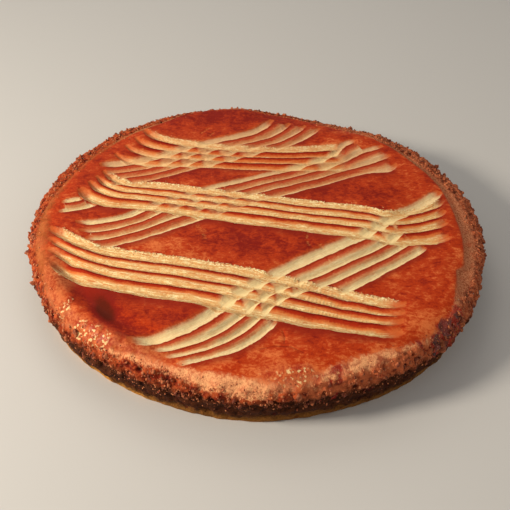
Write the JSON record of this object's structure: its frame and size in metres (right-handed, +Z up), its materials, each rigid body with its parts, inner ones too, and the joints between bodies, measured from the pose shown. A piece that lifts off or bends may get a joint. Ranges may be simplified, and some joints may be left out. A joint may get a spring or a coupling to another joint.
{
  "type": "butter cake",
  "caption": "Round shallow butter cake in one piece, with a glazed top scored by a fork in crossing bands and a crumbly side.",
  "frame": {"origin": "middle of the flat base, on the surface the cake rests on", "axes": "+Z up through the glazed top; +Y away from the side that carries the front band of fork grooves; +X to the right of that side"},
  "size_m": [0.2331, 0.2323, 0.0292],
  "materials": {
    "cake": "baked crust with an egg glaze"
  },
  "bodies": {
    "root": {"cake": "cake"}
  },
  "joints": []
}
